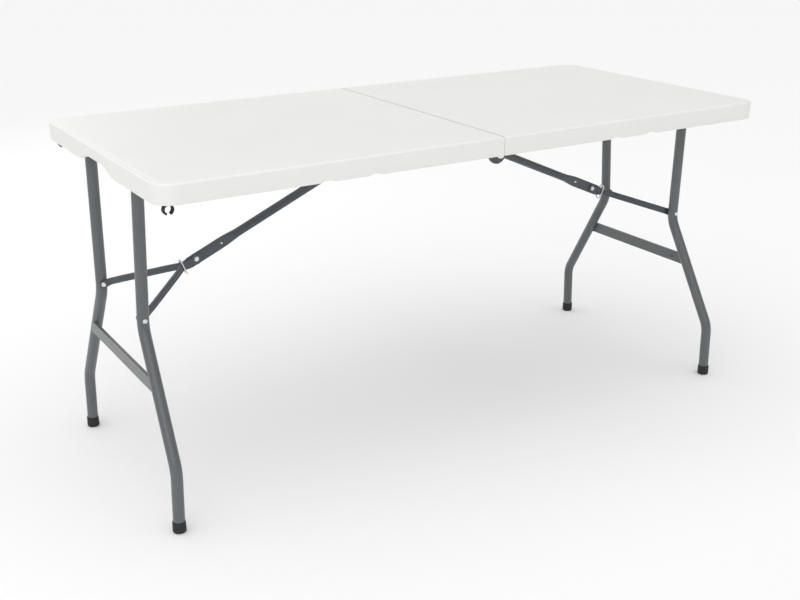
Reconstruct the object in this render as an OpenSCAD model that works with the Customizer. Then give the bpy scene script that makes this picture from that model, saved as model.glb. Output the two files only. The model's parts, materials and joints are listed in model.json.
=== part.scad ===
// Fold-in-half table: two moulded top halves on a steel sub-frame, two wishbone leg frames, each held by a two-part brace with a sliding lock ring.
// +X runs along the table, +Y to its back, +Z up. The origin is on the floor under the middle of the top.

/* [Overall] */
// Length of the opened top
table_l = 1520; // [1500:10:1840]
// Depth of the top
table_w = 700; // [690:10:850]
// Height of the top's upper face
table_h = 740; // [600:10:900]

/* [Top] */
// Height of the skirt
skirt_h = 40; // [40:1:48]
// Plan radius of the four outer corners
corner_r = 42; // [20:1:60]
// Width of the moulded rim
rim_w = 11.5; // [9:0.5:12]
// Thickness of the top above the recess
plate_t = 11; // [7:0.5:11]
// Gap between the halves
seam_gap = 1; // [0.6:0.1:2]
// Width of the hand notch in each end
notch_w = 226; // [120:2:260]
// Depth of the hand notch
notch_d = 15.5; // [6:0.5:18]

/* [Rails] */
// Rail width
rail_w = 20; // [16:1:22]
// Rail height
rail_h = 20.6; // [18:0.2:20.6]
// Rail wall
rail_t = 1.5; // [1:0.1:2.5]

/* [Legs] */
// Leg tube diameter
leg_d = 25; // [20:0.5:27]
// Wall of the axle tube
leg_t = 1.2; // [0.9:0.1:2]
// Outward lean of the legs in degrees
leg_lean = 2.02; // [0:0.1:3]
// Distance of the feet from the ends of the top
foot_inset = 10.95; // [6:0.5:40]
// Half spacing of the legs at the axle
leg_y_top = 144.3; // [110:1:160]
// Half spacing at the upper bend
leg_y_upper = 131.5; // [100:1:150]
// Half spacing at the feet
leg_y_foot = 283.3; // [200:1:284]
// Height of the upper bend
bend_upper = 395; // [360:5:400]
// Height of the lower bend
bend_lower = 137; // [110:1:200]
// Axle tube diameter
axle_d = 20; // [16:0.5:22]
// Height of the lower crossbar's middle
bar_z = 293; // [260:1:320]
// Height of the crossbar section
bar_h = 27; // [18:1:30]
// Thickness of the crossbar section
bar_t = 7; // [5:0.5:9]

/* [Braces] */
// Brace tube diameter
brace_d = 19; // [16:0.5:20]
// Width of the flattened paddle
paddle_w = 26; // [22:0.5:28]
// Thickness of the flattened paddle
paddle_t = 4; // [3:0.2:4.4]
// Knee distance from the end of the top
knee_inset = 199; // [180:1:240]
// Knee height below the top's upper face
knee_drop = 265; // [200:1:300]
// Height of the arm rivets below the top's upper face
arm_drop = 327.44; // [290:0.05:340]
// Width of the arm strips
arm_w = 16; // [12:0.5:18]
// Thickness of the arm strips
arm_t = 2; // [1.5:0.1:2.5]
// Lock ring wire diameter
ring_wire = 3.5; // [2.5:0.1:4]

/* [Clearances] */
// Radial clearance of every turning fit
run_fit = 0.05; // [0.02:0.01:0.1]
// Gap between faces that move past each other
slide_gap = 0.3; // [0.3:0.05:0.5]
// Gap at a joint face that does not move
seat_gap = 0.05; // [0.02:0.01:0.1]

/* [Hidden] */
$fn = 48;
half_l = table_l / 2;
half_w = table_w / 2;
skirt_z = table_h - skirt_h;
ceil_z = table_h - plate_t;
hinge_z = skirt_z - seam_gap / 2;
lean_k = tan(leg_lean);
foot_x = half_l - foot_inset;
axle_z = skirt_z + 11;
axle_x = foot_x - lean_k * axle_z;
rail_z0 = axle_z - rail_h / 2;
rail_z1 = axle_z + rail_h / 2;
rail_y1 = half_w - 30;
rail_y0 = rail_y1 - rail_w;
rail_x0 = 26;
rail_x1 = axle_x + 16;
knee = [half_l - knee_inset, table_h - knee_drop];
arm_z = table_h - arm_drop;
arm_x = foot_x - lean_k * arm_z;
pin_d = [20, skirt_z + 9.5];
brace_len = norm(knee - pin_d);
brace_a = atan2(pin_d[1] - knee[1], knee[0] - pin_d[0]);
arm_len = norm([arm_x, arm_z] - knee);
arm_a = atan2(knee[1] - arm_z, arm_x - knee[0]);
arm_y = leg_y_top + (leg_y_upper - leg_y_top) * (table_h - arm_z) / (table_h - bend_upper);
arm_tab_y = arm_y - leg_d / 2 - 2.6;
tab_y0 = paddle_t / 2 + slide_gap;
tab_mid = tab_y0 + arm_t / 2;
ring_y = tab_y0 + arm_t + 1.45 + ring_wire / 2;
ring_h = 17.25;
ring_s = -33;
stop_s = 65.5;
plate_y = [rail_y1 + slide_gap, rail_y1 + 3.3 + slide_gap, rail_y1 + 6.6 + slide_gap];

function lx(z) = foot_x - lean_k * z;

module plan(e) {
  // The right half's outline, drawn in by e on its outer edges
  r = corner_r;
  translate([seam_gap / 2, -half_w + e + r])
    square([half_l - e - seam_gap / 2, table_w - 2 * e - 2 * r]);
  translate([seam_gap / 2, -half_w + e])
    square([half_l - e - r - seam_gap / 2, table_w - 2 * e]);
  for (s = [-1, 1])
    translate([half_l - e - r, s * (half_w - e - r)])
      circle(r = r);
}

module panel() {
  ear_y = half_w - rim_w;
  difference() {
    union() {
      translate([0, 0, skirt_z])
        linear_extrude(height = skirt_h - 4)
          plan(0);
      translate([0, 0, table_h - 4.01])
        linear_extrude(height = 2.01)
          plan(0.7);
      translate([0, 0, table_h - 2.01])
        linear_extrude(height = 1.21)
          plan(1.6);
      translate([0, 0, table_h - 0.81])
        linear_extrude(height = 0.81)
          plan(3.2);
    }
    // underside recess between the seam wall and the rim
    translate([9, -ear_y, skirt_z - 1])
      cube([half_l - rim_w - 9 - corner_r, 2 * ear_y, ceil_z - skirt_z + 1]);
    translate([9, -ear_y + corner_r - rim_w, skirt_z - 1])
      cube([half_l - rim_w - 9, 2 * (ear_y - corner_r + rim_w), ceil_z - skirt_z + 1]);
    for (s = [-1, 1])
      translate([half_l - corner_r, s * (half_w - corner_r), skirt_z - 1])
        cylinder(r = corner_r - rim_w, h = ceil_z - skirt_z + 1);
    // pocket over the folded knee and the stowed ring
    translate([half_l - 240, -17, ceil_z - 1])
      cube([130, 34, 6]);
    // hinge clearances in the seam wall
    for (s = [-1, 1])
      translate([-1, s * (rail_y1 + 4) - 10, skirt_z - 1])
        cube([27, 20, 26]);
    // hand notch in the end
    translate([half_l - rim_w - 20, 0, skirt_z])
      rotate([90, 0, 90])
        linear_extrude(height = rim_w + 30)
          polygon([[-notch_w / 2, -1], [-notch_w / 2, 0], [-notch_w * 0.43, 1.2],
                   [-notch_w * 0.36, notch_d * 0.45], [-notch_w * 0.27, notch_d * 0.85],
                   [-notch_w * 0.17, notch_d], [notch_w * 0.17, notch_d],
                   [notch_w * 0.27, notch_d * 0.85], [notch_w * 0.36, notch_d * 0.45],
                   [notch_w * 0.43, 1.2], [notch_w / 2, 0], [notch_w / 2, -1]]);
    // shallow reliefs in the long skirts
    for (x = [310, 416])
      for (s = [-1, 1])
        translate([x - 17, s * (half_w - rim_w / 2) + 10, skirt_z])
          rotate([90, 0, 0])
            linear_extrude(height = 20)
              polygon([[0, -1], [0, 0], [6, 3.4], [28, 3.4], [34, 0], [34, -1]]);
    // tack-off pits between the two skins
    for (i = [0:6])
      for (j = [-4:4])
        if (j != 0)
          translate([70 + i * (half_l - 160) / 6, j * (half_w - 60) / 4.4, ceil_z - 0.01])
            cylinder(r1 = 9, r2 = 6, h = 4.5, $fn = 24);
  }
  // pads that carry the rails and the brace bracket
  for (s = [-1, 1])
    translate([rail_x0, s > 0 ? rail_y0 : -rail_y1, rail_z1 + seat_gap])
      cube([rail_x1 - rail_x0, rail_w, ceil_z - rail_z1 - seat_gap + 0.01]);
}

module left_tabletop() color([0.91, 0.91, 0.89]) {
  mirror([1, 0, 0])
    panel();
  translate([-7.5 - seam_gap / 2, -half_w + 4, skirt_z + 0.5])
    rotate([90, 0, 0])
      scale([1, 0.72, 1])
        cylinder(r = 7, h = 4);
}
module right_tabletop() color([0.91, 0.91, 0.89]) panel();

module rail(s) {
  y0 = s > 0 ? rail_y0 : -rail_y1;
  difference() {
    translate([rail_x0, y0, rail_z0])
      cube([rail_x1 - rail_x0, rail_w, rail_h]);
    translate([rail_x0 - 1, y0 + rail_t, rail_z0 + rail_t])
      cube([rail_x1 - rail_x0 + 2, rail_w - 2 * rail_t, rail_h - 2 * rail_t]);
    // axle bore through the inner wall only
    translate([axle_x, s * (rail_y1 - rail_t - 0.1), axle_z])
      rotate([s * 90, 0, 0])
        cylinder(r = axle_d / 2 + run_fit, h = rail_w);
    for (x = screw_x())
      translate([x, s * (rail_y0 + rail_w / 2), rail_z0 - 1])
        cylinder(r = 2.3, h = rail_h + 2);
    for (x = [36, 60])
      translate([x, s * (rail_y1 + 1), axle_z])
        rotate([s * 90, 0, 0])
          cylinder(r = 2.55, h = 4);
  }
}
function screw_x() = [110, half_l * 0.33, half_l * 0.55, half_l * 0.8];
module left_front_rail() color([0.36, 0.37, 0.39]) mirror([1, 0, 0]) rail(-1);
module left_back_rail() color([0.36, 0.37, 0.39]) mirror([1, 0, 0]) rail(1);
module right_front_rail() color([0.36, 0.37, 0.39]) rail(-1);
module right_back_rail() color([0.36, 0.37, 0.39]) rail(1);

module screws() {
  for (s = [-1, 1])
    for (x = screw_x())
      translate([x, s * (rail_y0 + rail_w / 2), 0]) {
        translate([0, 0, rail_z0 - 2.1])
          cylinder(r = 4.5, h = 2.05);
        translate([0, 0, rail_z0 - 0.1])
          cylinder(r = 2.2, h = rail_h + 0.1);
      }
}
module left_rail_screws() color([0.72, 0.73, 0.75]) mirror([1, 0, 0]) screws();
module right_rail_screws() color([0.72, 0.73, 0.75]) screws();

module hinge_plate(s, y0, back) {
  // a strap along the rail that ends in a round lobe about the hinge axis
  translate([0, s > 0 ? y0 + 3 : -y0, 0])
    rotate([90, 0, 0])
      linear_extrude(height = 3)
        difference() {
          union() {
            translate([0, hinge_z])
              circle(r = 21);
            translate([0, rail_z0 + 1])
              square([72, rail_h - 2]);
          }
          translate([0, hinge_z])
            circle(r = 3 + run_fit);
          translate([back * 12, hinge_z - 2.5])
            circle(r = 7.6);
          for (x = [36, 60])
            translate([x, axle_z])
              circle(r = 2.55);
        }
}
module left_hinge_plates() color([0.3, 0.32, 0.35]) mirror([1, 0, 0])
  for (s = [-1, 1])
    hinge_plate(s, plate_y[0], -1);
module right_hinge_plates() color([0.3, 0.32, 0.35])
  for (s = [-1, 1]) {
    hinge_plate(s, plate_y[1], 1);
    // packer between the strap and the rail
    translate([28, s > 0 ? rail_y1 + seat_gap : -plate_y[1], rail_z0 + 1])
      difference() {
        cube([44, plate_y[1] - rail_y1 - seat_gap, rail_h - 2]);
        for (x = [36, 60])
          translate([x - 28, -1, axle_z - rail_z0 - 1])
            rotate([-90, 0, 0])
              cylinder(r = 2.55, h = 12);
      }
  }
module centre_hinge_pins() color([0.72, 0.73, 0.75])
  for (s = [-1, 1])
    translate([0, s * (rail_y1 - 2), hinge_z])
      rotate([-s * 90, 0, 0]) {
        cylinder(r = 3, h = 9.2);
        cylinder(r = 4.3, h = 2);
        translate([0, 0, 9.2])
          cylinder(r = 4.3, h = 2);
      }
module hinge_rivets(y1) {
  for (s = [-1, 1])
    for (x = [36, 60])
      translate([x, s * (rail_y1 - 4), axle_z])
        rotate([-s * 90, 0, 0]) {
          cylinder(r = 4, h = 4 - rail_t - seat_gap);
          cylinder(r = 2.5, h = y1 - rail_y1 + 4);
          translate([0, 0, y1 - rail_y1 + 4 + seat_gap])
            cylinder(r = 4.5, h = 1.6);
          translate([0, 0, y1 - rail_y1 + 3])
            cylinder(r = 2.5, h = 1.5);
        }
}
module left_hinge_rivets() color([0.72, 0.73, 0.75]) mirror([1, 0, 0]) hinge_rivets(plate_y[0] + 3);
module right_hinge_rivets() color([0.72, 0.73, 0.75]) hinge_rivets(plate_y[1] + 3);

ear_in = 5 + slide_gap;
module bracket() {
  // pressed saddle screwed to the underside, with an ear on each side of the brace's eye
  difference() {
    union() {
      for (s = [-1, 1])
        translate([10, s > 0 ? ear_in : -ear_in - 2.5, pin_d[1] - 8])
          cube([24, 2.5, ceil_z - pin_d[1] + 8 - seat_gap]);
      for (s = [-1, 1])
        translate([10, s > 0 ? ear_in : -ear_in - 16, ceil_z - 2.5 - seat_gap])
          cube([24, 16, 2.5]);
      translate([10, -ear_in, ceil_z - 2.5 - seat_gap])
        cube([24, 2 * ear_in, 2.5]);
    }
    translate([pin_d[0], -15, pin_d[1]])
      rotate([-90, 0, 0])
        cylinder(r = 4 + run_fit, h = 30);
    for (s = [-1, 1])
      translate([22, s * (ear_in + 9), ceil_z - 6])
        cylinder(r = 2.3, h = 8);
  }
}
module left_brace_bracket() color([0.3, 0.32, 0.35]) mirror([1, 0, 0]) bracket();
module right_brace_bracket() color([0.3, 0.32, 0.35]) bracket();
module bracket_screws() {
  for (s = [-1, 1])
    translate([22, s * (ear_in + 9), 0]) {
      translate([0, 0, ceil_z - 4.7])
        cylinder(r = 4, h = 2.1);
      translate([0, 0, ceil_z - 4])
        cylinder(r = 2.2, h = 3.9);
    }
}
module left_bracket_screws() color([0.72, 0.73, 0.75]) mirror([1, 0, 0]) bracket_screws();
module right_bracket_screws() color([0.72, 0.73, 0.75]) bracket_screws();

clip_x = half_l - 28;
clip_y = rail_y1 + 4.6;
clip_z = skirt_z - 11.3;
clip_r = 7;
module left_latch_clips() color([0.07, 0.07, 0.08]) mirror([1, 0, 0])
  for (s = [-1, 1])
    translate([clip_x, s * clip_y + 4, 0])
      rotate([90, 0, 0])
        linear_extrude(height = 8) {
          difference() {
            translate([0, clip_z])
              circle(r = clip_r + 4);
            translate([0, clip_z])
              circle(r = clip_r);
            translate([0, clip_z])
              polygon([[0, 0], [-7, -16], [7, -16]]);
          }
          translate([-4.5, clip_z + clip_r + 1.5])
            square([9, ceil_z - clip_z - clip_r - 1.5 - seat_gap]);
        }
module right_latch_catches() color([0.07, 0.07, 0.08])
  for (s = [-1, 1])
    translate([clip_x, s * clip_y + 4, 0])
      rotate([90, 0, 0])
        linear_extrude(height = 8) {
          translate([0, 2 * hinge_z - clip_z])
            circle(r = clip_r - 0.2);
          translate([-3, 2 * hinge_z - clip_z])
            square([6, ceil_z - 2 * hinge_z + clip_z - seat_gap]);
        }

module axle() {
  difference() {
    translate([axle_x, -rail_y1 + 3, axle_z])
      rotate([-90, 0, 0])
        cylinder(r = axle_d / 2, h = 2 * rail_y1 - 6);
    translate([axle_x, -rail_y1, axle_z])
      rotate([-90, 0, 0])
        cylinder(r = axle_d / 2 - leg_t, h = 2 * rail_y1);
  }
}
module left_axle_tube() color([0.36, 0.38, 0.39]) mirror([1, 0, 0]) axle();
module right_axle_tube() color([0.36, 0.38, 0.39]) axle();

// The leg's plane is leaned outward; leg_path is drawn in it as [y, distance up from the foot]
leg_top = axle_z / cos(leg_lean);
leg_path = [[leg_y_foot, 0], [leg_y_foot - 0.6, bend_lower / cos(leg_lean)],
            [leg_y_upper, bend_upper / cos(leg_lean)], [leg_y_top, leg_top]];
bend_r = 40;
function unit(v) = v / norm(v);
function turn(i) = let(a = unit(leg_path[i] - leg_path[i - 1]), b = unit(leg_path[i + 1] - leg_path[i]))
  asin(a[0] * b[1] - a[1] * b[0]);
// the corner at i, cut back to two points that halve its turn
function cut(i) = let(a = unit(leg_path[i] - leg_path[i - 1]), b = unit(leg_path[i + 1] - leg_path[i]),
  m = bend_r * tan(abs(turn(i)) / 2)) [leg_path[i] - a * m, leg_path[i] + b * m];
run = [leg_path[0] + [0, 4], cut(1)[0], cut(1)[1], cut(2)[0], cut(2)[1], leg_path[3]];

module leg_stick(a, b, r) {
  d = b - a;
  translate([0, a[0], a[1]])
    rotate([-atan2(d[0], d[1]), 0, 0])
      cylinder(r = r, h = norm(d));
}
module leg_run(r) {
  translate([foot_x, 0, 0])
    rotate([0, -leg_lean, 0]) {
      // each piece is mitred where it meets the next
      for (i = [0:4]) {
        u = unit(run[i + 1] - run[i]);
        difference() {
          leg_stick(run[i] - u * (i == 0 ? 0 : 6), run[i + 1] + u * (i == 4 ? 0 : 6), r);
          if (i > 0)
            mitre(run[i], unit(u + unit(run[i] - run[i - 1])), -20);
          if (i < 4)
            mitre(run[i + 1], unit(u + unit(run[i + 2] - run[i + 1])), 0);
        }
      }
    }
}
module mitre(p, m, z) {
  translate([0, p[0], p[1]])
    rotate([-atan2(m[0], m[1]), 0, 0])
      translate([-30, -30, z])
        cube([60, 60, 20]);
}
module leg() {
  difference() {
    leg_run(leg_d / 2);
    // coped end around the axle, and the arm bolt's hole
    translate([axle_x, 0, axle_z])
      rotate([-90, 0, 0])
        cylinder(r = axle_d / 2 + seat_gap, h = half_w);
    translate([arm_x, arm_y - 30, arm_z])
      rotate([-90, 0, 0])
        cylinder(r = 3.5 + seat_gap, h = 60);
  }
}
module left_front_leg_tube() color([0.36, 0.38, 0.39]) mirror([1, 0, 0]) mirror([0, 1, 0]) leg();
module left_back_leg_tube() color([0.36, 0.38, 0.39]) mirror([1, 0, 0]) leg();
module right_front_leg_tube() color([0.36, 0.38, 0.39]) mirror([0, 1, 0]) leg();
module right_back_leg_tube() color([0.36, 0.38, 0.39]) leg();

cap_r = leg_d / 2 + 1.75;
module foot_cap() {
  difference() {
    translate([foot_x - lean_k * 12, leg_y_foot, 0])
      rotate_extrude()
        polygon([[0, 0], [cap_r - 1.6, 0], [cap_r - 0.4, 1], [cap_r, 3], [cap_r - 0.2, 21],
                 [cap_r - 0.8, 25], [0, 25]]);
    translate([foot_x, 0, 0])
      rotate([0, -leg_lean, 0])
        leg_stick(run[0] - unit(run[1] - run[0]) * seat_gap, run[1], leg_d / 2 + seat_gap);
  }
}
module left_front_foot_cap() color([0.05, 0.05, 0.06]) mirror([1, 0, 0]) mirror([0, 1, 0]) foot_cap();
module left_back_foot_cap() color([0.05, 0.05, 0.06]) mirror([1, 0, 0]) foot_cap();
module right_front_foot_cap() color([0.05, 0.05, 0.06]) mirror([0, 1, 0]) foot_cap();
module right_back_foot_cap() color([0.05, 0.05, 0.06]) foot_cap();

module crossbar() {
  y1 = leg_y_foot - 70;
  difference() {
    translate([foot_x, 0, 0])
      rotate([0, -leg_lean, 0])
        translate([5, 0, bar_z - bar_h / 2])
          difference() {
            translate([0, -y1, 0])
              cube([bar_t, 2 * y1, bar_h]);
            translate([1.2, -y1 - 1, 1.2])
              cube([bar_t - 2.4, 2 * y1 + 2, bar_h - 2.4]);
            translate([-1, -135, bar_h / 2])
              rotate([0, 90, 0])
                cylinder(r = 3, h = 5);
          }
    for (s = [0, 1])
      mirror([0, s, 0])
        translate([foot_x, 0, 0])
          rotate([0, -leg_lean, 0]) {
            u = unit(leg_path[2] - leg_path[1]);
            leg_stick(leg_path[1] + u * 30, leg_path[2] - u * 30, leg_d / 2 + seat_gap);
            // nothing outside the legs
            translate([0, leg_path[1][0], leg_path[1][1]])
              rotate([-atan2(u[0], u[1]), 0, 0])
                translate([-40, 0, -20])
                  cube([80, 120, 400]);
          }
  }
}
module left_lower_crossbar() color([0.36, 0.38, 0.39]) mirror([1, 0, 0]) crossbar();
module right_lower_crossbar() color([0.36, 0.38, 0.39]) crossbar();

module arm_bolt() {
  // through the leg tube, domed outside, flush on the arm's side
  translate([arm_x, arm_y, arm_z])
    rotate([-90, 0, 0]) {
      translate([0, 0, -leg_d / 2 + 0.2])
        cylinder(r = 3.5, h = leg_d + 0.6);
      translate([0, 0, leg_d / 2 + 0.45])
        cylinder(r1 = 5.2, r2 = 3.6, h = 2.2);
    }
}
module left_arm_bolts() color([0.75, 0.76, 0.78]) mirror([1, 0, 0])
  for (s = [0, 1])
    mirror([0, s, 0])
      arm_bolt();
module right_arm_bolts() color([0.75, 0.76, 0.78])
  for (s = [0, 1])
    mirror([0, s, 0])
      arm_bolt();

module in_brace() {
  // s runs from the knee up the brace, w across it
  translate([knee[0], 0, knee[1]])
    rotate([0, brace_a, 0])
      mirror([1, 0, 0])
        children();
}
module main_brace() {
  r = brace_d / 2;
  in_brace()
    difference() {
      union() {
        translate([84, 0, 0])
          rotate([0, 90, 0])
            cylinder(r = r, h = brace_len - 84 - 20);
        // flattened shoulder between the tube and the paddle
        intersection() {
          translate([0, 20, 0])
            rotate([90, 0, 0])
              linear_extrude(height = 40)
                polygon([[69, -paddle_w / 2], [69, paddle_w / 2], [102, r * 0.68], [102, -r * 0.68]]);
          translate([0, 0, -20])
            linear_extrude(height = 40)
              polygon([[69, -paddle_t / 2], [69, paddle_t / 2], [102, r * 0.68], [102, -r * 0.68]]);
        }
        translate([brace_len - 30, -5, -r + 0.5])
          cube([30, 10, 2 * r - 1]);
        translate([brace_len, -5, 0])
          rotate([-90, 0, 0])
            cylinder(r = r - 0.5, h = 10);
        translate([0, paddle_t / 2, 0])
          rotate([90, 0, 0])
            linear_extrude(height = paddle_t)
              polygon([[70.05, -paddle_w / 2], [-20, -paddle_w / 2], [-36, -paddle_w / 2 + 4],
                       [-36, paddle_w / 2 - 4], [-20, paddle_w / 2], [70.05, paddle_w / 2]]);
      }
      translate([0, -10, 0])
        rotate([-90, 0, 0])
          cylinder(r = 4 + seat_gap, h = 20);
      translate([stop_s, -10, 0])
        rotate([-90, 0, 0])
          cylinder(r = 2.5 + seat_gap, h = 20);
      translate([brace_len, -10, 0])
        rotate([-90, 0, 0])
          cylinder(r = 4 + run_fit, h = 20);
    }
}
module left_main_brace() color([0.29, 0.31, 0.34]) mirror([1, 0, 0]) main_brace();
module right_main_brace() color([0.29, 0.31, 0.34]) main_brace();

module knee_rivet() {
  y1 = tab_y0 + arm_t + 0.1;
  in_brace() {
    translate([0, -y1, 0])
      rotate([-90, 0, 0])
        cylinder(r = 4, h = 2 * y1);
    for (s = [0, 1])
      mirror([0, s, 0])
        translate([0, y1, 0])
          rotate([-90, 0, 0])
            cylinder(r1 = 5.6, r2 = 4.4, h = 1);
  }
}
module left_knee_rivet() color([0.78, 0.79, 0.81]) mirror([1, 0, 0]) knee_rivet();
module right_knee_rivet() color([0.78, 0.79, 0.81]) knee_rivet();

module stop_rivet() {
  in_brace()
    for (s = [0, 1])
      mirror([0, s, 0])
        translate([stop_s, 0, 0])
          rotate([-90, 0, 0]) {
            cylinder(r = 2.5, h = paddle_t / 2 + seat_gap);
            translate([0, 0, paddle_t / 2 + seat_gap])
              cylinder(r1 = 3.2, r2 = 2, h = 2.4);
          }
}
module left_stop_rivet() color([0.78, 0.79, 0.81]) mirror([1, 0, 0]) stop_rivet();
module right_stop_rivet() color([0.78, 0.79, 0.81]) stop_rivet();

module brace_pin() {
  w = ear_in + 2.5 + seat_gap;
  translate([pin_d[0], 0, pin_d[1]])
    rotate([-90, 0, 0]) {
      translate([0, 0, -w])
        cylinder(r = 4, h = 2 * w);
      for (s = [0, 1])
        mirror([0, 0, s])
          translate([0, 0, w])
            cylinder(r = 6, h = 1.8);
    }
}
module left_brace_pin() color([0.72, 0.73, 0.75]) mirror([1, 0, 0]) brace_pin();
module right_brace_pin() color([0.72, 0.73, 0.75]) brace_pin();

module in_arm() {
  // t runs from the knee to the leg, w across the strip
  translate([knee[0], 0, knee[1]])
    rotate([0, arm_a, 0])
      children();
}
t_out = 33;
t_in = arm_len - 16;
module band(d1, d2, t0, t1) {
  // the strip's path seen from above, from d1 to d2 off its middle
  y0 = tab_mid;
  y1 = arm_tab_y - arm_t / 2;
  k = tan(atan2(y1 - y0, t_in - t_out) / 2);
  polygon([[t0, y0 + d1], [t_out - d1 * k, y0 + d1], [t_in - d1 * k, y1 + d1], [t1, y1 + d1],
           [t1, y1 + d2], [t_in - d2 * k, y1 + d2], [t_out - d2 * k, y0 + d2], [t0, y0 + d2]]);
}
module arm() {
  h = arm_t / 2;
  in_arm()
    difference() {
      union() {
        translate([0, 0, -arm_w / 2])
          linear_extrude(height = arm_w)
            band(-h, h, 0, arm_len);
        translate([0, tab_y0, 0])
          rotate([-90, 0, 0])
            cylinder(r = 12, h = arm_t);
        translate([arm_len, arm_tab_y - arm_t, 0])
          rotate([-90, 0, 0])
            cylinder(r = 9, h = arm_t);
        // pressed rib
        translate([0, 0, -2.5])
          linear_extrude(height = 5)
            polygon(rib_path(h - 0.4, h + 0.9));
      }
      translate([0, -20, 0])
        rotate([-90, 0, 0])
          cylinder(r = 4 + run_fit, h = 40);
      // relief that lets the ring pass while the knee turns
      translate([18, -1, -18.6])
        rotate([-90, 0, 0])
          cylinder(r = 15.3, h = tab_y0 + arm_t + 2);
      translate([arm_len, arm_tab_y - 20, 0])
        rotate([-90, 0, 0])
          cylinder(r = 3.5 + seat_gap, h = 40);
    }
}
function rib_path(d1, d2) = let(
  a = [t_out, tab_mid],
  b = [t_in, arm_tab_y - arm_t / 2],
  u = unit(b - a),
  n = [-u[1], u[0]])
  [a + u * 16 + n * d1, b - u * 14 + n * d1, b - u * 17 + n * d2, a + u * 19 + n * d2];
module left_front_arm() color([0.27, 0.29, 0.32]) mirror([1, 0, 0]) mirror([0, 1, 0]) arm();
module left_back_arm() color([0.27, 0.29, 0.32]) mirror([1, 0, 0]) arm();
module right_front_arm() color([0.27, 0.29, 0.32]) mirror([0, 1, 0]) arm();
module right_back_arm() color([0.27, 0.29, 0.32]) arm();

module arm_end_rivets() {
  in_arm()
    for (s = [0, 1])
      mirror([0, s, 0])
        translate([arm_len, arm_tab_y, 0])
          rotate([90, 0, 0]) {
            cylinder(r = 3.5, h = arm_t + 0.1);
            translate([0, 0, arm_t + 0.05])
              cylinder(r1 = 5.6, r2 = 4, h = 2);
          }
}
module left_arm_end_rivets() color([0.75, 0.76, 0.78]) mirror([1, 0, 0]) arm_end_rivets();
module right_arm_end_rivets() color([0.75, 0.76, 0.78]) arm_end_rivets();

module lock_ring() {
  r = ring_wire / 2;
  q = 4;
  in_brace()
    translate([ring_s, 0, 0])
      rotate([0, 90, 0]) {
        // local x is across the brace, local y is the table's depth
        for (s = [0, 1])
          mirror([s, 0, 0])
            translate([ring_h, -ring_y + q, 0])
              rotate([-90, 0, 0])
                cylinder(r = r, h = 2 * (ring_y - q));
        for (s = [0, 1])
          mirror([0, s, 0])
            translate([-ring_h + q, ring_y, 0])
              rotate([0, 90, 0])
                cylinder(r = r, h = 2 * (ring_h - q));
        for (sx = [0, 1])
          for (sy = [0, 1])
            mirror([sx, 0, 0])
              mirror([0, sy, 0])
                translate([ring_h - q, ring_y - q, 0])
                  rotate_extrude(angle = 90)
                    translate([q, 0])
                      circle(r = r);
      }
}
module left_lock_ring() color([0.8, 0.81, 0.83]) mirror([1, 0, 0]) lock_ring();
module right_lock_ring() color([0.8, 0.81, 0.83]) lock_ring();

left_tabletop();
right_tabletop();
left_front_rail();
left_back_rail();
right_front_rail();
right_back_rail();
left_rail_screws();
right_rail_screws();
left_hinge_plates();
right_hinge_plates();
centre_hinge_pins();
left_hinge_rivets();
right_hinge_rivets();
left_brace_bracket();
right_brace_bracket();
left_bracket_screws();
right_bracket_screws();
left_latch_clips();
right_latch_catches();
left_axle_tube();
right_axle_tube();
left_front_leg_tube();
left_back_leg_tube();
right_front_leg_tube();
right_back_leg_tube();
left_front_foot_cap();
left_back_foot_cap();
right_front_foot_cap();
right_back_foot_cap();
left_lower_crossbar();
right_lower_crossbar();
left_arm_bolts();
right_arm_bolts();
left_main_brace();
right_main_brace();
left_knee_rivet();
right_knee_rivet();
left_brace_pin();
right_brace_pin();
left_stop_rivet();
right_stop_rivet();
left_front_arm();
left_back_arm();
right_front_arm();
right_back_arm();
left_arm_end_rivets();
right_arm_end_rivets();
left_lock_ring();
right_lock_ring();
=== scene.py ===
import json
import math

import bpy
import numpy as np
from bpy.props import FloatProperty, FloatVectorProperty, IntProperty, PointerProperty
from bpy.types import Operator, Panel, PropertyGroup
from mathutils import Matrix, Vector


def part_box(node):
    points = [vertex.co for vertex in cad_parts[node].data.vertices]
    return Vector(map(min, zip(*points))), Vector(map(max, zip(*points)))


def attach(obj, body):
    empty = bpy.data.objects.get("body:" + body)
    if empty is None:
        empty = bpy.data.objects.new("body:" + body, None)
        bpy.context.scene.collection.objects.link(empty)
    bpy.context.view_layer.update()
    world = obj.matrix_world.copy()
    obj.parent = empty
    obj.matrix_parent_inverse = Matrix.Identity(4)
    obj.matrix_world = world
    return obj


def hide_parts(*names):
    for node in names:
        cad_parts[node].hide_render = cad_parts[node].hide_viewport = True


bl_info = {
    "name": "Folding table visual model",
    "version": (1, 0, 0),
    "blender": (4, 5, 0),
    "location": "View3D > Sidebar > Table",
    "description": "Surfaces, finishes and stage of a fold-in-half table",
    "category": "Object",
}

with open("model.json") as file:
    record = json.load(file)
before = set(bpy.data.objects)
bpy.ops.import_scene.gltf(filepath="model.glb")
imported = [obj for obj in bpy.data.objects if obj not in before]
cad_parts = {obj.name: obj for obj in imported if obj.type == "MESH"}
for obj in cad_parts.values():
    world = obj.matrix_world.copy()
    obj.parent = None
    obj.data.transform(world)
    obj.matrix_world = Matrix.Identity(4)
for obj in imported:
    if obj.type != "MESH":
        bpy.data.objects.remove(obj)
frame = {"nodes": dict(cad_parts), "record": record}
JOINTS = {j["name"]: j for j in frame["record"]["behaviour"]["joints"]}
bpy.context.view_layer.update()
TOP_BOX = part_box("right_tabletop")
RAIL_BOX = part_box("right_back_rail")
KNEE = np.array(JOINTS["right_knee_turn"]["pos_m"])
PIN = np.array(JOINTS["right_brace_swing"]["pos_m"])
AXLE = np.array(JOINTS["right_leg_fold"]["pos_m"])
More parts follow.
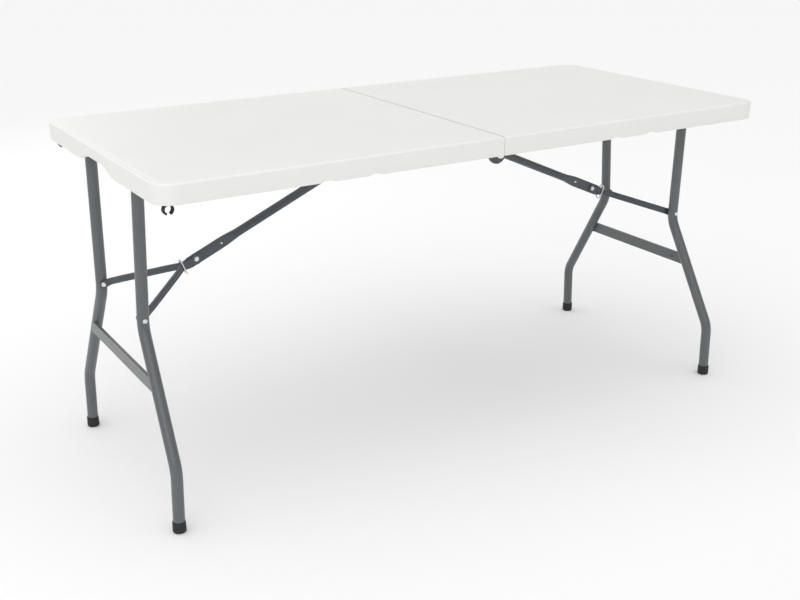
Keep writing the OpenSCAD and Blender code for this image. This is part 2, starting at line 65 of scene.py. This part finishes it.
SIDES = (("left", -1.0), ("right", 1.0))
LEAN = math.tan(math.radians(2.02))     # outward slope of the leg frames
ARM_PIVOT_Z = 0.41256
CORNER_R = 0.042                        # plan radius of the outer corners
HINGE_Y = 0.324                         # middle of the hinge slots
TUBE_R = 0.0095                         # radius of the brace tube
RING_HALF_W, RING_HALF_Y = 0.01725, 0.0075


def grid_mesh(rows, closed=False, caps=True):
    """A surface through a stack of rows of points.

    Row i and row i + 1 are joined by quads, each row closes on itself, and flat
    caps end the stack unless it closes too.
    """
    rows = np.asarray(rows, float)
    n, m = rows.shape[:2]
    i, j = np.meshgrid(np.arange(n if closed else n - 1), np.arange(m), indexing="ij")
    a, b = i * m + j, i * m + (j + 1) % m
    c, d = ((i + 1) % n) * m + (j + 1) % m, ((i + 1) % n) * m + j
    faces = [list(map(int, f)) for f in np.stack([a, b, c, d], -1).reshape(-1, 4)]
    if caps and not closed:
        faces.append([int(k) for k in range(m - 1, -1, -1)])
        faces.append([int(k) for k in range((n - 1) * m, n * m)])
    return rows.reshape(-1, 3), faces


def add_piece(name, parts, mirror_x=1.0, mirror_y=1.0):
    """One mesh object from several (points, faces) shells.

    A factor of -1 mirrors it about one of the table's middle planes.
    """
    points, faces, start = [], [], 0
    for p, f in parts:
        points.append(np.asarray(p) * [mirror_x, mirror_y, 1.0])
        faces += [[v + start for v in q] for q in f]
        start += len(p)
    mesh = bpy.data.meshes.new(name)
    mesh.from_pydata(np.concatenate(points).tolist(), [], faces)
    mesh.update()
    obj = bpy.data.objects.new(name, mesh)
    bpy.context.scene.collection.objects.link(obj)
    bpy.context.view_layer.objects.active = obj
    for o in bpy.context.selected_objects:
        o.select_set(False)
    obj.select_set(True)
    bpy.ops.object.mode_set(mode="EDIT")
    bpy.ops.mesh.select_all(action="SELECT")
    bpy.ops.mesh.normals_make_consistent(inside=False)
    bpy.ops.object.mode_set(mode="OBJECT")
    mesh.set_sharp_from_angle(angle=math.radians(38))
    return obj


def outline(x0, x1, y1, r, fine):
    """The half top's outline from its seam corner round the outer end and back.

    Straight sides, and quarter circles of radius r at the two outer corners.
    """
    def line(a, b, n):
        t = np.linspace(0, 1, n, endpoint=False)[:, None]
        return np.array(a) * (1 - t) + np.array(b) * t
    t = np.linspace(0, math.pi / 2, 16, endpoint=False)[:, None]
    c1 = np.hstack([x1 - r + r * np.sin(t), -y1 + r - r * np.cos(t)])
    c2 = np.hstack([x1 - r + r * np.cos(t), y1 - r + r * np.sin(t)])
    return np.vstack([
        line((x0, -y1), (x1 - r, -y1), fine), c1,
        line((x1, -y1 + r), (x1, y1 - r), fine), c2,
        line((x1 - r, y1), (x0, y1), fine),
        line((x0, y1), (x0, -y1), fine * 2)])


def smooth(a, b, x):
    """Smooth step from 0 at a to 1 at b."""
    t = np.clip((x - a) / (b - a), 0, 1)
    return t * t * (3 - 2 * t)


def lower_edge(p, x1, y1):
    """How far the skirt's lower edge rises at each outline point.

    A wide hand notch in the end, two shallow reliefs in each long side, and a
    slot at each hinge in the seam wall, each with a smooth step at its ends.
    """
    x, y = p[:, 0], p[:, 1]
    notch = 0.0155 * (1 - smooth(0.045, 0.108, np.abs(y))) * (x > x1 - 0.02)
    side = np.abs(y) > y1 - 0.02
    relief = sum(0.0034 * (1 - smooth(0.008, 0.0165, np.abs(x - c))) for c in (0.31, 0.416))
    from_hinge = np.abs(np.abs(y) - HINGE_Y)
    slot = 0.0242 * (1 - smooth(0.0100, 0.0112, from_hinge)) * (x < TOP_BOX[0][0] + 0.02)
    return notch + relief * side * (slot == 0) + slot


def top_shells(fine):
    """The moulded half, as rings of the outline drawn in by e at height z.

    They run from the flat top over the lip, down the skirt, round its lower edge
    and up the inside. The upper edge is a quarter circle of radius 4.5 mm.
    """
    (x0, _, z0), (x1, y1, z1) = TOP_BOX
    r = CORNER_R
    rings = []
    arc = [(0.0045 * (1 - math.sin(a)), z1 - 0.0004 - 0.0045 * (1 - math.cos(a)))
           for a in np.linspace(0.0, math.pi / 2, 9)]
    prof = [(0.016, z1), (0.0125, z1 - 0.00005), (0.0105, z1 - 0.0005), (0.009, z1 - 0.0007),
            (0.0075, z1 - 0.0005)] + arc
    for e, z in prof:
        p = outline(x0 + min(e, 0.0009) * 0.8, x1 - e, y1 - e, r - e, fine)
        rings.append(np.column_stack([p, np.full(len(p), z)]))
    for e, dz in ((0.0, 0.0022), (0.0003, 0.0010), (0.0011, 0.0002), (0.002, 0),
                  (0.0095, 0), (0.0110, 0.0006), (0.0116, 0.002)):
        p = outline(x0 + (e if e < 0.003 else e * 0.74), x1 - e, y1 - e, r - e, fine)
        z = z0 + dz + lower_edge(outline(x0, x1, y1, r, fine), x1, y1)
        rings.append(np.column_stack([p, z]))
    ceil = z1 - 0.0045
    p = outline(x0 + 0.0086, x1 - 0.0118, y1 - 0.0118, r - 0.0118, fine)
    rings.append(np.column_stack([p, np.full(len(p), ceil)]))
    return [grid_mesh(np.array(rings))]


def under_shell():
    """The underside skin, a height field z(x, y) over the recess.

    Round tack-off pits stand on a grid, and a long pocket takes the folded knee.
    Points outside the rim's inner corner are drawn in onto its arc.
    """
    (x0, _, _), (x1, y1, z1) = TOP_BOX
    xs = np.linspace(x0 + 0.0084, x1 - 0.0114, 240)
    ys = np.linspace(-y1 + 0.0114, y1 - 0.0114, 220)
    x, y = np.meshgrid(xs, ys, indexing="ij")
    px, py = (x1 - 0.16) / 10, 0.062
    u = (x - 0.07) / px
    v = y / py
    d = np.hypot((u - np.round(u)) * px, (v - np.round(v)) * py)
    row = np.abs(np.round(v))
    live = (np.round(u) >= 0) & (np.round(u) <= 10) & (row <= 4) & (row > 0)
    pocket = (1 - smooth(0.012, 0.016, np.abs(y))) * smooth(x1 - 0.240, x1 - 0.234, x)
    pocket = pocket * (1 - smooth(x1 - 0.116, x1 - 0.110, x))
    pits = 0.0045 * (1 - smooth(0.004, 0.010, d)) * live
    z = z1 - 0.0112 + np.maximum(pits, 0.0052 * pocket)
    cx, cy, r = x1 - CORNER_R, y1 - CORNER_R, 0.0306
    out = np.hypot(np.maximum(x - cx, 0), np.maximum(np.abs(y) - cy, 0))
    pull = np.where((x > cx) & (np.abs(y) > cy) & (out > r), r / np.maximum(out, 1e-9), 1.0)
    y = np.where(pull < 1, np.sign(y) * (cy + (np.abs(y) - cy) * pull), y)
    x = np.where(pull < 1, cx + (x - cx) * pull, x)
    pts = np.stack([x, y, z], -1)
    n, m = x.shape
    i, j = np.meshgrid(np.arange(n - 1), np.arange(m - 1), indexing="ij")
    a = i * m + j
    f = np.stack([a, a + 1, a + m + 1, a + m], -1).reshape(-1, 4)
    return pts.reshape(-1, 3), [list(map(int, q)) for q in f]


def block(lo, hi):
    """A plain box between two corners."""
    xs, ys, zs = zip(lo, hi)
    c = np.array([[x, y, z] for x in xs for y in ys for z in zs])
    return c, [[0, 1, 3, 2], [4, 6, 7, 5], [0, 4, 5, 1],
               [2, 3, 7, 6], [0, 2, 6, 4], [1, 5, 7, 3]]


def rounded_path(points, radius, steps=14):
    """A polyline with each inner corner replaced by an arc tangent to both sides."""
    out = [np.array(points[0], float)]
    for a, b, c in zip(points, points[1:], points[2:]):
        a, b, c = (np.array(v, float) for v in (a, b, c))
        u, v = (b - a) / np.linalg.norm(b - a), (c - b) / np.linalg.norm(c - b)
        ang = math.acos(float(np.clip(u @ v, -1, 1)))
        cut = radius * math.tan(ang / 2)
        side = v - u * (u @ v)
        side /= np.linalg.norm(side)
        start = b - u * cut
        for t in np.linspace(0, ang, steps):
            out.append(start + u * radius * math.sin(t) + side * radius * (1 - math.cos(t)))
    out.append(np.array(points[-1], float))
    return np.array(out)


def tube(path, radius, around=40, closed=False, fixed=(1.0, 0.0, 0.0)):
    """A round tube along a path.

    At each point a circle of the radius lies across the path's direction, set
    out from a fixed reference direction.
    """
    path = np.asarray(path, float)
    if closed:
        d = np.roll(path, -1, 0) - np.roll(path, 1, 0)
    else:
        d = np.gradient(path, axis=0)
    d /= np.linalg.norm(d, axis=1)[:, None]
    n1 = np.cross(d, fixed)
    n1 /= np.linalg.norm(n1, axis=1)[:, None]
    n2 = np.cross(d, n1)
    t = np.linspace(0, 2 * math.pi, around, endpoint=False)
    r = np.broadcast_to(radius, len(path))[:, None, None]
    circle = np.cos(t)[None, :, None] * n1[:, None] + np.sin(t)[None, :, None] * n2[:, None]
    rows = path[:, None] + r * circle
    return grid_mesh(rows, closed=closed, caps=not closed)


def leg_points():
    """The back right leg's line: foot, two bends and the axle, in one leaning plane."""
    fx = AXLE[0] + LEAN * AXLE[2]
    yz = [(0.2833, 0.004), (0.2827, 0.137), (0.1315, 0.395), (0.1443, AXLE[2] - 0.002)]
    return [(fx - LEAN * z, y, z) for y, z in yz]


def revolve(profile, centre, around=48):
    """A profile of (radius, height) pairs turned about a vertical line through centre."""
    t = np.linspace(0, 2 * math.pi, around, endpoint=False)
    x, y = centre
    rows = [np.column_stack([x + r * np.cos(t), y + r * np.sin(t), np.full(around, z)])
            for r, z in profile]
    return grid_mesh(rows)


def brace_frame():
    """Along, across and side unit directions of the right brace at rest, from the knee up to its pin."""
    s = PIN - KNEE
    length = float(np.linalg.norm(s))
    s = s / length
    return s, np.array([-s[2], 0.0, s[0]]) * -1.0, np.array([0.0, 1.0, 0.0]), length


def brace_shell():
    """The brace, as superellipses |u / hw|^p + |v / ht|^p = 1 at stations along it.

    Their half width, half thickness and power go by smooth steps from a flattened
    paddle to a round tube with a rolled crease, and to a flattened eye at the pin.
    """
    s, w, y, length = brace_frame()
    t = np.linspace(0, 2 * math.pi, 64, endpoint=False)
    rows = []
    stations = np.concatenate([np.linspace(-0.036, -0.014, 12), np.linspace(-0.010, 0.062, 14),
                               np.linspace(0.066, 0.112, 20), np.linspace(0.12, length - 0.04, 60),
                               np.linspace(length - 0.038, length + 0.0089, 18)])
    for q in stations:
        to_tube = float(smooth(0.062, 0.112, q))
        to_eye = float(smooth(length - 0.036, length - 0.018, q))
        hw = 0.013 + (TUBE_R - 0.013) * to_tube
        ht = 0.002 + (TUBE_R - 0.002) * to_tube
        ht = ht + (0.0049 - ht) * to_eye
        if q < -0.014:
            hw -= 0.004 * float(smooth(-0.014, -0.036, q))
        if q > length:
            hw = max(0.0006, math.sqrt(max(0.0, 0.0090 ** 2 - (q - length) ** 2)))
        power = 5.0 + (2.0 - 5.0) * to_tube + 3.0 * to_eye
        c, d = np.cos(t), np.sin(t)
        u = np.sign(c) * np.abs(c) ** (2 / power) * hw
        v = np.sign(d) * np.abs(d) ** (2 / power) * ht
        crease = to_tube * (1 - to_eye) * 0.0011
        dip = crease * np.exp(-((u + 0.0015) / 0.0011) ** 2)
        v = v - np.sign(v) * dip
        rows.append(KNEE + s * q + u[:, None] * w + v[:, None] * y)
    return grid_mesh(rows)


def arm_shell(knee_y=0.0033):
    """The right back arm, a pressed strip bent out from the knee tab to the leg tab.

    Its section has a Gaussian bead in the middle and a shallow one at each edge,
    and both ends are round.
    """
    b = np.array([AXLE[0] + LEAN * (AXLE[2] - ARM_PIVOT_Z), 0.0, ARM_PIVOT_Z])
    tab_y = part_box("right_back_arm")[1][1] - 0.001
    t = b - KNEE
    length = float(np.linalg.norm(t))
    t /= length
    w = np.array([-t[2], 0.0, t[0]])
    bends = [(-0.0119, knee_y), (0.033, knee_y), (length - 0.016, tab_y), (length + 0.0089, tab_y)]
    path = rounded_path(bends, 0.012, 8)
    dense = []
    for a, c in zip(path[:-1], path[1:]):
        n = max(1, int(np.linalg.norm(c - a) / 0.0012))
        dense += [a + (c - a) * i / n for i in range(n)]
    path = np.array(dense + [path[-1]])
    d = np.gradient(path, axis=0)
    d /= np.linalg.norm(d, axis=1)[:, None]
    nrm = np.column_stack([-d[:, 1], d[:, 0]])
    v = np.linspace(-1, 1, 41)
    rows = []
    for (q, yy), (nx, ny) in zip(path, nrm):
        hw = 0.008
        if q < 0.012:
            hw = math.sqrt(max(0.012 ** 2 - q * q, 1e-7)) if q < 0.0089 else 0.008
        if q > length - 0.004:
            hw = math.sqrt(max(0.009 ** 2 - (q - length) ** 2, 1e-7)) if q > length else 0.009
        lo = hw
        if 0.004 < q < 0.032:
            lo = min(hw, 0.0186 - math.sqrt(max(0.014 ** 2 - (q - 0.018) ** 2, 0)))
        mid = float(smooth(0.042, 0.060, q) * (1 - smooth(length - 0.040, length - 0.024, q)))
        across = np.where(v > 0, v * hw, v * lo)
        edge = 0.0008 * np.exp(-((np.abs(v) - 0.98) / 0.16) ** 2)
        bead = mid * (0.0013 * np.exp(-(v / 0.22) ** 2) + edge)
        off_out, off_in = 0.001 + bead, -0.001 + bead * 0.8
        ring = []
        for off, vv in ((off_out, across), (off_in[::-1], across[::-1])):
            along, out = (q + nx * off)[:, None], (yy + ny * off)[:, None]
            ring.append(KNEE + along * t + vv[:, None] * w + out * np.array([0, 1.0, 0]))
        rows.append(np.vstack(ring))
    return grid_mesh(rows)


def ring_path():
    """The lock ring's centre line, a superellipse of power 4.5 bowed along the brace."""
    s, w, y, _ = brace_frame()
    a = np.linspace(0, 2 * math.pi, 96, endpoint=False)
    p = 4.5
    u = np.sign(np.cos(a)) * np.abs(np.cos(a)) ** (2 / p) * RING_HALF_W
    v = np.sign(np.sin(a)) * np.abs(np.sin(a)) ** (2 / p) * RING_HALF_Y
    bow = 0.0011 * (1 - (u / RING_HALF_W) ** 2)
    return KNEE + s * (-0.033 - bow)[:, None] + u[:, None] * w + v[:, None] * y


def node_group(name, build):
    """A shader node group, made once by its build function and shared."""
    g = bpy.data.node_groups.get(name)
    if g:
        return g
    g = bpy.data.node_groups.new(name, "ShaderNodeTree")
    build(g)
    return g


def build_grain(g):
    """Pebble grain: cells and two noises mixed into one height, with a slow blotch for colour."""
    g.interface.new_socket("Vector", in_out="INPUT", socket_type="NodeSocketVector")
    g.interface.new_socket("Scale", in_out="INPUT", socket_type="NodeSocketFloat")
    g.interface.new_socket("Height", in_out="OUTPUT", socket_type="NodeSocketFloat")
    g.interface.new_socket("Blotch", in_out="OUTPUT", socket_type="NodeSocketFloat")
    i, o = g.nodes.new("NodeGroupInput"), g.nodes.new("NodeGroupOutput")
    vor = g.nodes.new("ShaderNodeTexVoronoi")
    fine, slow = g.nodes.new("ShaderNodeTexNoise"), g.nodes.new("ShaderNodeTexNoise")
    vor.feature = "SMOOTH_F1"
    fine.inputs["Detail"].default_value = 4
    slow.inputs["Scale"].default_value = 7
    slow.inputs["Detail"].default_value = 3
    mul, mix = g.nodes.new("ShaderNodeMath"), g.nodes.new("ShaderNodeMath")
    mul.operation, mix.operation = "MULTIPLY", "ADD"
    mul.inputs[1].default_value = 2.3
    for n in (vor, fine, slow):
        g.links.new(i.outputs["Vector"], n.inputs["Vector"])
    g.links.new(i.outputs["Scale"], vor.inputs["Scale"])
    g.links.new(i.outputs["Scale"], mul.inputs[0])
    g.links.new(mul.outputs[0], fine.inputs["Scale"])
    g.links.new(vor.outputs["Distance"], mix.inputs[0])
    g.links.new(fine.outputs["Fac"], mix.inputs[1])
    g.links.new(mix.outputs[0], o.inputs["Height"])
    g.links.new(slow.outputs["Fac"], o.inputs["Blotch"])


def finish(name, dark, light, rough, grain, bump, metal=0.0, coat=0.0, spread=0.06):
    """A surface of grain and blotches: colour runs between two tones and roughness varies by spread."""
    m = bpy.data.materials.get(name)
    if m:
        return m
    m = bpy.data.materials.new(name)
    m.use_nodes = True
    t = m.node_tree
    b = t.nodes["Principled BSDF"]
    xyz = t.nodes.new("ShaderNodeTexCoord")
    g = t.nodes.new("ShaderNodeGroup")
    g.node_tree = node_group("pebble_grain", build_grain)
    g.inputs["Scale"].default_value = grain
    ramp = t.nodes.new("ShaderNodeMix")
    rr, bp = t.nodes.new("ShaderNodeMapRange"), t.nodes.new("ShaderNodeBump")
    ramp.data_type = "RGBA"
    ramp.inputs[6].default_value = (*dark, 1)
    ramp.inputs[7].default_value = (*light, 1)
    rr.inputs["To Min"].default_value = rough - spread
    rr.inputs["To Max"].default_value = rough + spread
    bp.inputs["Strength"].default_value = bump
    bp.inputs["Distance"].default_value = 0.0004
    t.links.new(xyz.outputs["Object"], g.inputs["Vector"])
    t.links.new(g.outputs["Blotch"], ramp.inputs[0])
    t.links.new(g.outputs["Blotch"], rr.inputs["Value"])
    t.links.new(g.outputs["Height"], bp.inputs["Height"])
    t.links.new(ramp.outputs[2], b.inputs["Base Color"])
    t.links.new(rr.outputs[0], b.inputs["Roughness"])
    t.links.new(bp.outputs["Normal"], b.inputs["Normal"])
    b.inputs["Metallic"].default_value = metal
    b.inputs["Coat Weight"].default_value = coat
    b.inputs["Coat Roughness"].default_value = 0.3
    return m


def scaled(colour, factor):
    """A colour with every channel multiplied by a factor."""
    return tuple(v * factor for v in colour)


def shade(slot):
    """The finish for a material slot of the record."""
    p = bpy.context.scene.table_finish
    if slot == "hdpe_top":
        c = p.top_colour
        return finish("moulded_top", scaled(c, 0.97), scaled(c, 1), 0.42, p.top_grain, 0.16)
    if slot == "frame_steel":
        c = p.frame_colour
        return finish("frame_coat", scaled(c, 0.86), scaled(c, 1.14), 0.34, 900, 0.22, coat=0.25)
    if slot == "brace_steel":
        c = p.brace_colour
        return finish("brace_coat", scaled(c, 0.84), scaled(c, 1.16), 0.36, 900, 0.24, coat=0.2)
    if slot == "zinc":
        dark, light = (0.62, 0.63, 0.66), (0.82, 0.83, 0.85)
        return finish("bright_zinc", dark, light, 0.24, 1400, 0.12, metal=1.0)
    dark, light = (0.012, 0.012, 0.013), (0.022, 0.022, 0.024)
    return finish("black_plastic", dark, light, 0.48, 1100, 0.2)


def place(obj, body, slot, *nodes):
    """Finish, slot, body and replaced nodes of a new piece."""
    obj.data.materials.append(shade(slot))
    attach(obj, body)
    if nodes:
        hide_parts(*nodes)


class TableSizes(PropertyGroup):
    leg_radius: FloatProperty(
        name="Leg radius", description="Radius of the leg tubes",
        default=0.0125, unit="LENGTH")
    bend_radius: FloatProperty(
        name="Bend radius", description="Centre-line radius of the leg bends",
        default=0.07, unit="LENGTH")
    ring_wire: FloatProperty(
        name="Ring wire", description="Radius of the lock ring's wire",
        default=0.00175, unit="LENGTH")
    outline_steps: IntProperty(
        name="Outline steps", description="Points along each side of the top's outline",
        default=220, min=40)


class TableFinish(PropertyGroup):
    top_colour: FloatVectorProperty(
        name="Top", description="Colour of the moulded top",
        subtype="COLOR", default=(0.86, 0.86, 0.84))
    frame_colour: FloatVectorProperty(
        name="Frame", description="Colour of the leg frames",
        subtype="COLOR", default=(0.108, 0.116, 0.120))
    brace_colour: FloatVectorProperty(
        name="Braces", description="Colour of the braces",
        subtype="COLOR", default=(0.062, 0.072, 0.085))
    top_grain: FloatProperty(
        name="Grain", description="Pebbles per metre in the top's grain", default=420.0)


class TABLE_OT_top(Operator):
    """Builds the two moulded halves of the top"""
    bl_idname = "folding_table.top"
    bl_label = "Moulded top"

    def execute(self, context):
        n = context.scene.table_sizes.outline_steps
        lo, hi = RAIL_BOX
        pads = []
        for s in (-1, 1):
            y = s * (lo[1] + hi[1]) / 2
            pads.append(block((lo[0], y - 0.01, hi[2] + 0.0001),
                              (hi[0], y + 0.01, TOP_BOX[1][2] - 0.0105)))
        for side, k in SIDES:
            parts = top_shells(n) + [under_shell()] + pads
            obj = add_piece(side + "_top_skin", parts, k)
            place(obj, side + "_top", "hdpe_top", side + "_tabletop")
        x0, y0, z0 = TOP_BOX[0]
        t = np.linspace(0, math.pi, 24)
        x, z = -0.0075 - x0 + 0.007 * np.cos(t), z0 + 0.0006 - 0.0049 * np.sin(t)
        ear = [np.column_stack([x, np.full(24, y), z]) for y in (y0 + 0.0002, y0 + 0.004)]
        place(add_piece("left_seam_ear", [grid_mesh(ear)]), "left_top", "hdpe_top")
        return {"FINISHED"}


class TABLE_OT_legs(Operator):
    """Builds the bent leg tubes, their weld beads and the foot caps"""
    bl_idname = "folding_table.legs"
    bl_label = "Leg frames"

    def execute(self, context):
        p = context.scene.table_sizes
        line = leg_points()
        path = rounded_path(line, p.bend_radius)
        foot = np.array(line[0])
        r = p.leg_radius
        cap = [(0.0003, 0.0), (r - 0.0005, 0.0), (r + 0.0008, 0.0007), (r + 0.0014, 0.0018),
               (r + 0.00175, 0.0035), (r + 0.0016, 0.013), (r + 0.0015, 0.0205),
               (r + 0.0011, 0.0238), (r + 0.0005, 0.0248), (r - 0.0005, 0.025)]
        t = np.linspace(0, 2 * math.pi, 48, endpoint=False)
        drop = 0.0015 + 0.0088 * np.abs(np.sin(t)) ** 0.5 - 0.0004 * np.sin(t * 17)
        weld = np.column_stack([AXLE[0] + 0.0118 * np.cos(t), line[3][1] + 0.0118 * np.sin(t),
                                AXLE[2] - drop])
        for side, k in SIDES:
            for end, m in (("front", -1.0), ("back", 1.0)):
                name = f"{side}_{end}_"
                bead = tube(weld, 0.0014, 10, closed=True, fixed=(0, 0, 1))
                obj = add_piece(name + "leg", [tube(path, r, 48), bead], k, m)
                place(obj, side + "_leg_frame", "frame_steel", name + "leg_tube")
                obj = add_piece(name + "foot", [revolve(cap, (foot[0] - 0.0003, foot[1]))], k, m)
                place(obj, side + "_leg_frame", "black_plastic", name + "foot_cap")
        return {"FINISHED"}


class TABLE_OT_braces(Operator):
    """Builds the main braces and the lock rings"""
    bl_idname = "folding_table.braces"
    bl_label = "Braces and rings"

    def execute(self, context):
        wire = context.scene.table_sizes.ring_wire
        for side, k in SIDES:
            brace = add_piece(side + "_brace_tube", [brace_shell()], k)
            place(brace, side + "_brace", "brace_steel", side + "_main_brace")
            shell = tube(ring_path(), wire, 16, closed=True, fixed=tuple(brace_frame()[0]))
            ring = add_piece(side + "_ring_wire", [shell], k)
            place(ring, side + "_ring", "zinc", side + "_lock_ring")
        return {"FINISHED"}


class TABLE_OT_arms(Operator):
    """Builds the pressed arms"""
    bl_idname = "folding_table.arms"
    bl_label = "Arms"

    def execute(self, context):
        for side, k in SIDES:
            for end, m in (("front", -1.0), ("back", 1.0)):
                name = f"{side}_{end}_"
                obj = add_piece(name + "arm_strip", [arm_shell()], k, m)
                place(obj, side + "_arms", "brace_steel", name + "arm")
        return {"FINISHED"}


class TABLE_OT_hardware(Operator):
    """Gives the CAD nodes that stay their finishes and soft edges"""
    bl_idname = "folding_table.hardware"
    bl_label = "Hardware"

    def execute(self, context):
        slots = {s["node"]: s["material_slot"] for s in frame["record"]["subparts"]}
        for node, obj in frame["nodes"].items():
            obj.data.materials.clear()
            obj.data.materials.append(shade(slots[node]))
            edged = ("rail", "crossbar", "hinge_plates", "bracket", "latch")
            if any(w in node for w in edged) and "screw" not in node:
                b = obj.modifiers.new("edges", "BEVEL")
                b.width = 0.0006
                b.segments = 2
                b.limit_method = "ANGLE"
                b.angle_limit = math.radians(40)
        return {"FINISHED"}


class TABLE_OT_stage(Operator):
    """Sets the floor, the lights and the camera"""
    bl_idname = "folding_table.stage"
    bl_label = "Stage"

    def execute(self, context):
        bpy.ops.mesh.primitive_plane_add(size=60)
        floor = context.object
        floor.name = "floor"
        floor.location.z = -0.0005
        m = bpy.data.materials.new("pale_floor")
        m.use_nodes = True
        b = m.node_tree.nodes["Principled BSDF"]
        b.inputs["Base Color"].default_value = (0.93, 0.93, 0.93, 1)
        b.inputs["Roughness"].default_value = 0.9
        floor.data.materials.append(m)
        world = bpy.data.worlds.new("studio")
        world.use_nodes = True
        world.node_tree.nodes["Background"].inputs[0].default_value = (1, 1, 1, 1)
        world.node_tree.nodes["Background"].inputs[1].default_value = 0.5
        context.scene.world = world
        d = bpy.data.lights.new("key", "SUN")
        d.energy, d.angle = 1.7, math.radians(100)
        o = bpy.data.objects.new("key", d)
        o.rotation_euler = (math.radians(12), math.radians(-14), 0)
        context.scene.collection.objects.link(o)
        areas = (("fill", (-2.6, -2.4, 1.5), 1.2, 7), ("rim", (-0.6, 2.9, 2.2), 1.8, 9))
        for name, loc, size, power in areas:
            d = bpy.data.lights.new(name, "AREA")
            d.size, d.energy = size, power
            o = bpy.data.objects.new(name, d)
            o.location = loc
            v = np.array([0, 0, 0.5]) - np.array(loc)
            tilt = math.acos(-v[2] / np.linalg.norm(v))
            o.rotation_euler = (tilt, 0, math.atan2(v[1], v[0]) - math.pi / 2)
            context.scene.collection.objects.link(o)
        c = bpy.data.cameras.new("camera")
        c.lens, c.sensor_width, c.clip_start = 49.98, 36.0, 0.05
        c.shift_x, c.shift_y = 0.0053, 0.0534
        cam = bpy.data.objects.new("camera", c)
        cam.location = (-1.39796, -2.18225, 1.23311)
        cam.rotation_euler = (math.radians(90 - 22.619), math.radians(0.105), math.radians(-31.710))
        context.scene.collection.objects.link(cam)
        context.scene.camera = cam
        context.scene.view_settings.view_transform = "Standard"
        return {"FINISHED"}


class TABLE_PT_panel(Panel):
    """Lists the table's operators and sizes"""
    bl_idname = "TABLE_PT_panel"
    bl_label = "Folding table"
    bl_space_type = "VIEW_3D"
    bl_region_type = "UI"
    bl_category = "Table"

    def draw(self, context):
        for group in (context.scene.table_sizes, context.scene.table_finish):
            for name in group.__annotations__:
                self.layout.prop(group, name)
        for step in STEPS:
            self.layout.operator(step.bl_idname)


STEPS = (TABLE_OT_hardware, TABLE_OT_top, TABLE_OT_legs, TABLE_OT_braces, TABLE_OT_arms, TABLE_OT_stage)
CLASSES = (TableSizes, TableFinish) + STEPS + (TABLE_PT_panel,)


def register():
    for c in CLASSES:
        bpy.utils.register_class(c)
    bpy.types.Scene.table_sizes = PointerProperty(type=TableSizes)
    bpy.types.Scene.table_finish = PointerProperty(type=TableFinish)


def unregister():
    del bpy.types.Scene.table_finish
    del bpy.types.Scene.table_sizes
    for c in reversed(CLASSES):
        bpy.utils.unregister_class(c)


def main():
    register()
    bpy.ops.folding_table.hardware()
    bpy.ops.folding_table.top()
    bpy.ops.folding_table.legs()
    bpy.ops.folding_table.braces()
    bpy.ops.folding_table.arms()
    bpy.ops.folding_table.stage()


if __name__ == "__main__":
    main()
